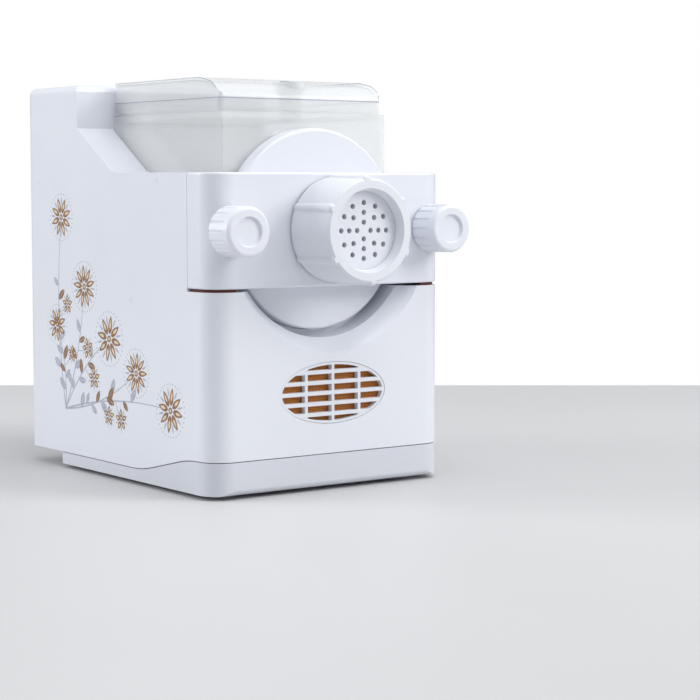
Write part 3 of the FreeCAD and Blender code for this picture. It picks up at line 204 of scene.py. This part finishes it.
# One material for each slot of the record.
MATERIALS = {
    "white_gloss": moulded("white_gloss", linear(228, 231, 239), 0.32, coat=0.25),
    "white_satin": moulded("white_satin", linear(226, 229, 236), 0.4),
    "base_grey": moulded("base_grey", linear(212, 215, 223), 0.45),
    "clear_plastic": clear_plastic("clear_plastic", 0.36, linear(252, 254, 255)),
    "soft_rubber": rubber("soft_rubber", linear(214, 214, 212)),
    "seal_silicone": rubber("seal_silicone", linear(205, 208, 212)),
    "amber_pad": mesh_pad("amber_pad", linear(176, 108, 44)),
    "steel": metal("steel", linear(196, 198, 202), 0.28, stretch=(1.0, 12.0, 12.0)),
    "zinc_sheet": metal("zinc_sheet", linear(178, 182, 186), 0.4, stretch=(8.0, 8.0, 1.0)),
    "bronze": metal("bronze", linear(190, 150, 98), 0.45, stretch=(4.0, 4.0, 4.0)),
    "gear_nylon": moulded("gear_nylon", linear(232, 228, 210), 0.5, spread=0.95),
    "winding": metal("winding", linear(168, 96, 52), 0.4, stretch=(1.0, 20.0, 1.0)),
    "fan_black": moulded("fan_black", linear(42, 42, 45), 0.45, spread=0.8),
    "panel_black": moulded("panel_black", linear(46, 49, 55), 0.2, coat=0.6, spread=0.85),
    "display_dark": moulded("display_dark", linear(20, 24, 30), 0.12, coat=0.8, spread=0.8),
    "key_grey": moulded("key_grey", linear(206, 208, 212), 0.35),
    "board_green": board("board_green", linear(34, 110, 66)),
    "component_grey": moulded("component_grey", linear(96, 98, 104), 0.5, spread=0.8),
}
# Darker bluish clear plastic for the lid's band and edge lines: painted shade, the darker look thick clear
# plastic has along its edges.
CLEAR_EDGE_SHADE = clear_plastic("clear_edge_shade", 0.5, linear(158, 172, 194))


def dress_frame():
    """Gives every node of the frame the detailed material of its slot."""
    for part in frame["record"]["subparts"]:
        piece = NODES[part["node"]]
        piece.data.materials.clear()
        piece.data.materials.append(MATERIALS[part["material_slot"]])


def added(name, mesh, material, body):
    """Puts a new piece into the scene, on one of the frame's bodies."""
    piece = bpy.data.objects.new(name, mesh)
    bpy.context.collection.objects.link(piece)
    mesh.materials.append(material)
    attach(piece, body)
    return piece


def ringed_mesh(name, chains, closed=False):
    """A mesh of solids. In each chain every ring of points is joined to the next, and the ends are
    capped or, where closed, the last ring is joined to the first."""
    mesh = bpy.data.meshes.new(name)
    build = bmesh.new()
    for rings in chains:
        rows = [[build.verts.new(point) for point in ring] for ring in rings]
        joints = list(zip(rows, rows[1:]))
        if closed:
            joints.append((rows[-1], rows[0]))
        else:
            build.faces.new(rows[0])
            build.faces.new(rows[-1])
        for here, there in joints:
            for j in range(len(here)):
                k = (j + 1) % len(here)
                build.faces.new((here[j], here[k], there[k], there[j]))
    bmesh.ops.recalc_face_normals(build, faces=build.faces)
    build.to_mesh(mesh)
    build.free()
    return mesh


def upright(name, outlines, low, high):
    """Upright prisms over outlines in the X, Y plane."""
    return ringed_mesh(name, [[[(x, y, z) for x, y in outline] for z in (low, high)] for outline in outlines])


def strip(outer, inner):
    """Quads between two lines with as many points each."""
    return [[outer[i], outer[i + 1], inner[i + 1], inner[i]] for i in range(len(outer) - 1)]


def on_circle(centre, radius, angle):
    """The point of a circle at an angle."""
    return (centre[0] + radius * math.cos(angle), centre[1] + radius * math.sin(angle))


# The print lies on the left side, in that side's own plane: y to the rear and z up.
PRINT_BROWN = linear(142, 104, 70)
PRINT_CREAM = linear(226, 208, 180)
PRINT_GREY = linear(176, 180, 194)
PRINT_ROOT = (SHELL_HIGH[1] - 62 * MM, SHELL_LOW[2] + 33 * MM)

# Ink layers stand a hair above the side, and shapes of one layer are stepped so that none share a face.
INK_SINK = 0.02 * MM
INK_RISE = 0.02 * MM
INK_LAYER = 0.025 * MM
INK_STEP = 0.0006 * MM
INK_STEPS = 30

# Each spray: where its flower stands from the root, how far its stem bows, the flower's size, its petals.
SPRAYS = (
    ((4 * MM, 142 * MM), -0.10, 15 * MM, 8),
    ((-30 * MM, 92 * MM), 0.10, 16 * MM, 9),
    ((-66 * MM, 56 * MM), -0.12, 17 * MM, 8),
    ((-104 * MM, 34 * MM), 0.12, 15 * MM, 9),
    ((-150 * MM, 12 * MM), -0.08, 16 * MM, 8),
    ((12 * MM, 62 * MM), 0.16, 13 * MM, 7),
)
# Points along a stem that bear a leaf, and the side it grows on. Leaves are grey at odd points, else brown.
LEAVES = ((3, -1), (5, 1), (6, -1), (8, 1), (9, -1))
LEAF_SIZES = (9, 13)
LEAF_ANGLES = (0.7, 1.0)
STEM_WIDE = 1.3 * MM
STEM_NARROW = 0.6 * MM
BUD_POINT = 7
BUD_REACH = 15 * MM
BUD_ANGLE = 1.1
BUD_PETALS = 5
TWIG_WIDE = 0.7 * MM
TWIG_NARROW = 0.5 * MM
TWIG_BOW = 0.1
TWIG_STEPS = 6
SEED = 11


def petal(length, width, points=7):
    """Outline of a petal that starts at the origin and points along the first axis."""
    lean, fullness = 0.75, 0.8
    left = []
    for i in range(points + 1):
        t = i / points
        half = width / 2 * math.sin(math.pi * t ** lean) ** fullness if 0 < t < 1 else 0.0
        left.append((length * t, half))
    right = [(y, -z) for y, z in reversed(left[1:-1])]
    return left + right


def placed(outline, centre, angle):
    """An outline turned by angle and moved to centre."""
    cos, sin = math.cos(angle), math.sin(angle)
    return [(centre[0] + y * cos - z * sin, centre[1] + y * sin + z * cos) for y, z in outline]


def dot(centre, radius, count=14):
    """Outline of a round dot."""
    return [on_circle(centre, radius, 2 * math.pi * i / count) for i in range(count)]


def stem(start, end, bow, steps=14):
    """Points of a bowed stem from start to end."""
    (y0, z0), (y1, z1) = start, end
    middle = ((y0 + y1) / 2 - (z1 - z0) * bow, (z0 + z1) / 2 + (y1 - y0) * bow)
    line = []
    for i in range(steps + 1):
        t = i / steps
        a, b, c = (1 - t) ** 2, 2 * t * (1 - t), t * t
        line.append((a * y0 + b * middle[0] + c * y1, a * z0 + b * middle[1] + c * z1))
    return line


def heading(line, i):
    """The direction of a line from one of its points to the next."""
    return math.atan2(line[i + 1][1] - line[i][1], line[i + 1][0] - line[i][0])


def ribbon(line, wide, narrow):
    """Outlines that follow a line and taper from wide to narrow."""
    count = len(line) - 1
    left, right = [], []
    for i, (y, z) in enumerate(line):
        before = line[max(i - 1, 0)]
        after = line[min(i + 1, count)]
        dy, dz = after[0] - before[0], after[1] - before[1]
        half = (wide + (narrow - wide) * i / count) / 2 / math.hypot(dy, dz)
        left.append((y - dz * half, z + dy * half))
        right.append((y + dz * half, z - dy * half))
    return [[left[i], right[i], right[i + 1], left[i + 1]] for i in range(count)]


def petals(centre, size, count, turn, start, length, width):
    """Petals round a centre. Start, length and width are shares of the flower's size."""
    ring = []
    for i in range(count):
        angle = turn + 2 * math.pi * i / count
        base = on_circle(centre, size * start, angle)
        ring.append(placed(petal(size * length, size * width / count), base, angle))
    return ring


def blossom(centre, size, count, turn):
    """A flower of slim petals with pale hearts and a dotted ring: brown, cream and grey outlines."""
    disc, heart, ring, bead = 0.15, 0.07, 1.15, 0.035
    brown = petals(centre, size, count, turn, start=0.2, length=0.8, width=2.5)
    brown.append(dot(centre, size * disc))
    cream = petals(centre, size, count, turn, start=0.42, length=0.42, width=1.1)
    cream.append(dot(centre, size * heart))
    grey = petals(centre, size, count, turn + math.pi / count, start=0.6, length=0.42, width=0.8)
    dots = 4 * count
    for i in range(dots):
        place = on_circle(centre, size * ring, turn + 2 * math.pi * i / dots)
        grey.append(dot(place, size * bead, count=8))
    return brown, cream, grey


def leaf(base, size, angle, points=8):
    """A leaf in two halves beside a bare vein."""
    vein, gap, swell, fullness = 0.015, 0.03, 0.2, 0.9
    halves = []
    for side in (-1, 1):
        outline = []
        for i in range(points + 1):
            t = i / points
            outline.append((size * t, side * size * (gap + swell * math.sin(math.pi * t) ** fullness)))
        outline += [(size, side * size * vein), (0.0, side * size * vein)]
        halves.append(placed(outline, base, angle))
    return halves


def print_layout():
    """Outlines of sprays that fan out from the lower rear corner and along the lower edge."""
    draw = random.Random(SEED)
    stems, leaves, brown, cream, grey = [], [], [], [], []

    def bloom(centre, size, count):
        outer, hearts, cups = blossom(centre, size, count, draw.uniform(0, 1))
        brown.extend(outer)
        cream.extend(hearts)
        grey.extend(cups)

    for (dy, dz), bow, size, count in SPRAYS:
        end = (PRINT_ROOT[0] + dy, PRINT_ROOT[1] + dz)
        line = stem(PRINT_ROOT, end, bow)
        stems += ribbon(line, STEM_WIDE, STEM_NARROW)
        bloom(end, size, count)
        for point, side in LEAVES:
            angle = heading(line, point) + side * draw.uniform(*LEAF_ANGLES)
            shade = leaves if point % 2 else brown
            shade += leaf(line[point], draw.uniform(*LEAF_SIZES) * MM, angle)
        tip = on_circle(line[BUD_POINT], BUD_REACH, heading(line, BUD_POINT) + BUD_ANGLE)
        twig = stem(line[BUD_POINT], tip, TWIG_BOW, TWIG_STEPS)
        stems += ribbon(twig, TWIG_WIDE, TWIG_NARROW)
        bloom(tip, size / 2, BUD_PETALS)
    return stems, leaves, brown, cream, grey


def ink(name, outlines, rise, colour):
    """Thin ink shapes on the left side."""
    side = SHELL_LOW[0]
    chains = []
    for number, outline in enumerate(outlines):
        outer = side - rise - (number % INK_STEPS) * INK_STEP
        chains.append([[(x, y, z) for y, z in outline] for x in (side + INK_SINK, outer)])
    surface = Surface(name, IOR=1.5)
    surface.tint(surface.noise(220.0, detail=4.0), (shaded(colour, 0.86), shaded(colour, 1.08)))
    surface.rough(surface.noise(300.0), 0.35, 0.5)
    added(name, ringed_mesh(name, chains), surface.material, "root")


def side_print():
    """The floral print in four layers of ink, each higher than the one before."""
    stems, leaves, brown, cream, grey = print_layout()
    layers = (
        ("print_stems", stems, PRINT_GREY),
        ("print_leaves", leaves + grey, PRINT_GREY),
        ("print_brown", brown, PRINT_BROWN),
        ("print_cream", cream, PRINT_CREAM),
    )
    for number, (name, outlines, colour) in enumerate(layers):
        ink(name, outlines, INK_RISE + number * INK_LAYER, colour)


# Signs on the keys.
SIGN_HALF = 2.5 * MM
SIGN_LINE = 0.35 * MM
SIGN_GAP = 0.01 * MM
SIGN_SINK = 0.02 * MM
SIGN_RISE = 0.03 * MM


def bar(x, y, half_x, half_y):
    """Corners of a small level bar."""
    return [(x + a * half_x, y + b * half_y) for a, b in ((-1, -1), (1, -1), (1, 1), (-1, 1))]


def power_sign(x, y, steps=16):
    """A ring that is open at the back, with a bar in the gap."""
    start, sweep = math.radians(130), math.radians(280)
    inner, outer = 2.2 * MM, 2.8 * MM
    bar_middle, half_width, half_length = 1.9 * MM, 0.3 * MM, 1.4 * MM
    lines = []
    for radius in (inner, outer):
        lines.append([on_circle((x, y), radius, start + sweep * i / steps) for i in range(steps + 1)])
    return strip(*lines) + [bar(x, y + bar_middle, half_width, half_length)]


def start_sign(x, y):
    """A triangle that points to the right."""
    back, tip, half = 1.6 * MM, 2.4 * MM, 2.2 * MM
    return [[(x - back, y - half), (x + tip, y), (x - back, y + half)]]


def plus_sign(x, y):
    """A cross of one long bar and two short ones."""
    inner = SIGN_LINE + SIGN_GAP
    middle, half = (SIGN_HALF + inner) / 2, (SIGN_HALF - inner) / 2
    return minus_sign(x, y) + [bar(x, y + side * middle, SIGN_LINE, half) for side in (1, -1)]


def minus_sign(x, y):
    """A bar."""
    return [bar(x, y, SIGN_HALF, SIGN_LINE)]


def key_marks():
    """Plain signs on the four keys."""
    dark = moulded("key_ink", linear(70, 74, 82), 0.5, spread=0.85)
    for node, body, sign in (
        ("button_1", "power_key", power_sign),
        ("button_2", "start_key", start_sign),
        ("button_3", "plus_key", plus_sign),
        ("button_4", "minus_key", minus_sign),
    ):
        low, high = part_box(node)
        shapes = sign((low[0] + high[0]) / 2, (low[1] + high[1]) / 2)
        name = "mark_" + body
        added(name, upright(name, shapes, high[2] - SIGN_SINK, high[2] + SIGN_RISE), dark, body)


# Dark strips on the housing's ledges, painted shade in the gap under the crossbar: inset from its sides, with
# the outline of its front corners.
SHELL_CORNER = 18 * MM
STRIP_INSET = 2 * MM
STRIP_WIDTH = 4 * MM
STRIP_START = 78 * MM
STRIP_RUN = 29 * MM
STRIP_LOW = 139.5 * MM
STRIP_HIGH = 141.3 * MM


def ledge_line(inset, side, steps=10):
    """A line along one ledge, round its front corner and back, inset from the housing's outline."""
    half = SHELL_HIGH[0] - inset
    front = FRONT_Y + inset
    radius = SHELL_CORNER - inset
    line = [(side * STRIP_START, front)]
    for i in range(steps + 1):
        angle = math.pi / 2 * i / steps
        x = half - radius + radius * math.sin(angle)
        line.append((side * x, front + radius - radius * math.cos(angle)))
    return line + [(side * half, FRONT_Y + STRIP_RUN)]


def ledge_gap_shade():
    """Dark strips on the housing's ledges in the gap under the crossbar: painted shade of the gap."""
    shapes = []
    for side in (-1, 1):
        shapes += strip(ledge_line(STRIP_INSET, side), ledge_line(STRIP_INSET + STRIP_WIDTH, side))
    mesh = upright("ledge_gap_shade", shapes, STRIP_LOW, STRIP_HIGH)
    # Dark reddish rubber colour: painted shade in the gap.
    added("ledge_gap_shade", mesh, rubber("ledge_gap_shade_strip", linear(96, 40, 42)), "root")


# Ring behind the bowl cover's lower rim, round the outlet's axis, in degrees from the right.
OUTLET_Z = 180.4 * MM
RING_BACK = FRONT_Y + 32.4 * MM
RING_DEPTH = 2.2 * MM
RING_INNER = 70.3 * MM
RING_OUTER = 75.3 * MM
RING_START = 155
RING_SWEEP = 230
RING_STEPS = 64


def scoop_ring():
    """Closes the slot behind the bowl cover's rim, between the scoop and the cradle."""
    front = RING_BACK - RING_DEPTH
    section = ((front, RING_INNER), (front, RING_OUTER), (RING_BACK, RING_OUTER), (RING_BACK, RING_INNER))
    rings = []
    for i in range(RING_STEPS + 1):
        angle = math.radians(RING_START + RING_SWEEP * i / RING_STEPS)
        rings.append([(r * math.cos(angle), y, OUTLET_Z + r * math.sin(angle)) for y, r in section])
    added("scoop_ring", ringed_mesh("scoop_ring", [rings]), MATERIALS["white_gloss"], "root")


# Trim on the lid: a band round its side, the spout's wide mouth, and lines inside its sharp edges. The band
# and the lines are in darker bluish clear plastic, painted shade of the lid's edges.
LID_CORNER = 4 * MM
BAND_PROUD = 0.25 * MM
BAND_LOW = 270 * MM
BAND_HIGH = 270.5 * MM
SPOUT_Y = LID_LOW[1] + 15.6 * MM
MOUTH_TOP = LID_HIGH[2] - 2.2 * MM
MOUTH_DEPTH = 12 * MM
MOUTH_WIDE_R = 12.4 * MM
MOUTH_NARROW_R = 7.9 * MM
MOUTH_WALL = 1 * MM
EDGE_HALF = 0.22 * MM
EDGE_INSET = 0.4 * MM
EDGE_ANGLE = math.radians(18)
EDGE_LOWEST = 272 * MM
EDGE_SHORTEST = 0.8 * MM
WELD = 0.001 * MM


def lid_outline(grow, steps=6):
    """The lid's outline in plan as a closed line, grown at the front and the sides."""
    half = LID_HIGH[0] + grow
    front = LID_LOW[1] - grow
    rear = LID_HIGH[1]
    radius = LID_CORNER + grow
    line = []
    for x, y, start in (
        (half - radius, front + radius, -90),
        (half - radius, rear - radius, 0),
        (-half + radius, rear - radius, 90),
        (-half + radius, front + radius, 180),
    ):
        line += [on_circle((x, y), radius, math.radians(start + 90 * i / steps)) for i in range(steps + 1)]
    return line + line[:1]


def lid_band():
    """A fine raised band round the lid, in darker clear plastic whose colour is painted shade along it."""
    shapes = strip(lid_outline(BAND_PROUD), lid_outline(-BAND_PROUD))
    added("lid_band", upright("lid_band", shapes, BAND_LOW, BAND_HIGH), CLEAR_EDGE_SHADE, "lid")


def spout_funnel(steps=40):
    """Thin cone that widens the lid's spout towards the top."""
    low = MOUTH_TOP - MOUTH_DEPTH
    section = (
        (low, MOUTH_NARROW_R),
        (MOUTH_TOP, MOUTH_WIDE_R),
        (MOUTH_TOP, MOUTH_WIDE_R - MOUTH_WALL),
        (low, MOUTH_NARROW_R - MOUTH_WALL),
    )
    rings = []
    for i in range(steps):
        angle = 2 * math.pi * i / steps
        rings.append([(*on_circle((0.0, SPOUT_Y), radius, angle), z) for z, radius in section])
    mesh = ringed_mesh("spout_funnel", [rings], closed=True)
    added("spout_funnel", mesh, MATERIALS["clear_plastic"], "lid")


def inside_lid(point):
    """The nearest point to this one that keeps the inset from the lid's box."""
    return Vector(min(max(point[i], LID_LOW[i] + EDGE_INSET), LID_HIGH[i] - EDGE_INSET) for i in range(3))


def lid_edge_shade():
    """Fine bluish lines just inside the lid's sharp upper edges: painted shade for the darker look of thick
    clear plastic there.
    """
    lid = NODES["bowl_lid"]
    source = bmesh.new()
    source.from_mesh(lid.data)
    source.transform(lid.matrix_world)
    bmesh.ops.remove_doubles(source, verts=source.verts, dist=WELD)
    chains = []
    for edge in source.edges:
        if len(edge.link_faces) != 2 or edge.calc_face_angle() < EDGE_ANGLE:
            continue
        start, end = (inside_lid(vertex.co) for vertex in edge.verts)
        along = end - start
        if min(start.z, end.z) < EDGE_LOWEST or along.length < EDGE_SHORTEST:
            continue
        across = along.orthogonal().normalized() * EDGE_HALF
        over = along.cross(across).normalized() * EDGE_HALF
        corners = (-across - over, across - over, across + over, over - across)
        chains.append([[point + corner for corner in corners] for point in (start, end)])
    source.free()
    added("lid_edge_shade", ringed_mesh("lid_edge_shade", chains), CLEAR_EDGE_SHADE, "lid")


# Camera as solved from the photo: its angles in degrees and its lens in millimetres.
CAMERA_PLACE = (-0.7894, -1.2006, 0.2113)
CAMERA_PITCH = 85.16
CAMERA_YAW = -36.41
CAMERA_LENS = 100.6

# Counter: the distance of its far edge behind the machine, and its length.
COUNTER_REACH = 0.62
COUNTER_SIZE = 4.0

# Light: what the lamps look at, and the surround's strength at the horizon and overhead.
AIM = Vector((0.0, 0.0, 0.15))
SURROUND_COLOUR = (0.93, 0.96, 1.0, 1.0)
SURROUND_LOW = 0.3
SURROUND_HIGH = 0.8


def counter():
    """Pale counter whose far edge lies behind the machine, square to the main view."""
    yaw = math.radians(CAMERA_YAW)
    ahead = Vector((-math.sin(yaw), math.cos(yaw), 0.0))
    across = Vector((ahead.y, -ahead.x, 0.0))
    far = ahead * COUNTER_REACH
    near = ahead * (COUNTER_REACH - COUNTER_SIZE)
    wide = across * COUNTER_SIZE
    corners = [near - wide, near + wide, far + wide, far - wide]
    mesh = bpy.data.meshes.new("counter")
    mesh.from_pydata([tuple(corner) for corner in corners], [], [(0, 1, 2, 3)])
    piece = bpy.data.objects.new("counter", mesh)
    bpy.context.collection.objects.link(piece)
    surface = Surface("counter", Roughness=0.5)
    surface.tint(surface.noise(1.6), (linear(198, 198, 199), linear(204, 204, 205)))
    mesh.materials.append(surface.material)


def area_light(name, place, size, power, colour=(1.0, 1.0, 1.0)):
    """A soft square lamp that looks at the machine."""
    lamp = bpy.data.lights.new(name, "AREA")
    lamp.energy = power
    lamp.size = size
    lamp.color = colour
    holder = bpy.data.objects.new(name, lamp)
    bpy.context.collection.objects.link(holder)
    holder.location = place
    holder.rotation_euler = (AIM - Vector(place)).to_track_quat("-Z", "Y").to_euler()


def surround():
    """A pale surround, paler overhead, that looks plain white straight and through clear plastic."""
    world = bpy.data.worlds.new("surround")
    bpy.context.scene.world = world
    world.use_nodes = True
    tree = world.node_tree
    glow = tree.nodes["Background"]
    glow.inputs["Color"].default_value = SURROUND_COLOUR
    direction = tree.nodes.new("ShaderNodeTexCoord")
    split = tree.nodes.new("ShaderNodeSeparateXYZ")
    height = tree.nodes.new("ShaderNodeMapRange")
    height.inputs["To Min"].default_value = SURROUND_LOW
    height.inputs["To Max"].default_value = SURROUND_HIGH
    tree.links.new(direction.outputs["Generated"], split.inputs["Vector"])
    tree.links.new(split.outputs["Z"], height.inputs["Value"])
    tree.links.new(height.outputs["Result"], glow.inputs["Strength"])
    plain = tree.nodes.new("ShaderNodeBackground")
    plain.inputs["Color"].default_value = (1.0, 1.0, 1.0, 1.0)
    path = tree.nodes.new("ShaderNodeLightPath")
    seen = tree.nodes.new("ShaderNodeMath")
    seen.operation = "MAXIMUM"
    tree.links.new(path.outputs["Is Camera Ray"], seen.inputs[0])
    tree.links.new(path.outputs["Is Transmission Ray"], seen.inputs[1])
    mix = tree.nodes.new("ShaderNodeMixShader")
    tree.links.new(seen.outputs["Value"], mix.inputs["Fac"])
    tree.links.new(glow.outputs["Background"], mix.inputs[1])
    tree.links.new(plain.outputs["Background"], mix.inputs[2])
    tree.links.new(mix.outputs["Shader"], tree.nodes["World Output"].inputs["Surface"])


def lights():
    """Soft lamps at the left rear, the front right and above, in a pale surround."""
    area_light("left_lamp", (-1.75, 1.4, 0.95), size=1.2, power=26.0)
    area_light("front_lamp", (1.5, -1.7, 1.35), size=1.2, power=33.0, colour=(1.0, 0.985, 0.955))
    area_light("top_lamp", (0.0, -0.6, 2.0), size=1.4, power=16.0)
    surround()


def camera():
    """The view of the photo."""
    lens = bpy.data.cameras.new("camera")
    lens.lens = CAMERA_LENS
    holder = bpy.data.objects.new("camera", lens)
    bpy.context.collection.objects.link(holder)
    holder.location = CAMERA_PLACE
    holder.rotation_euler = (math.radians(CAMERA_PITCH), 0.0, math.radians(CAMERA_YAW))
    bpy.context.scene.camera = holder


bpy.context.scene.view_settings.view_transform = "Standard"
dress_frame()
side_print()
key_marks()
ledge_gap_shade()
scoop_ring()
lid_band()
spout_funnel()
lid_edge_shade()
counter()
lights()
camera()
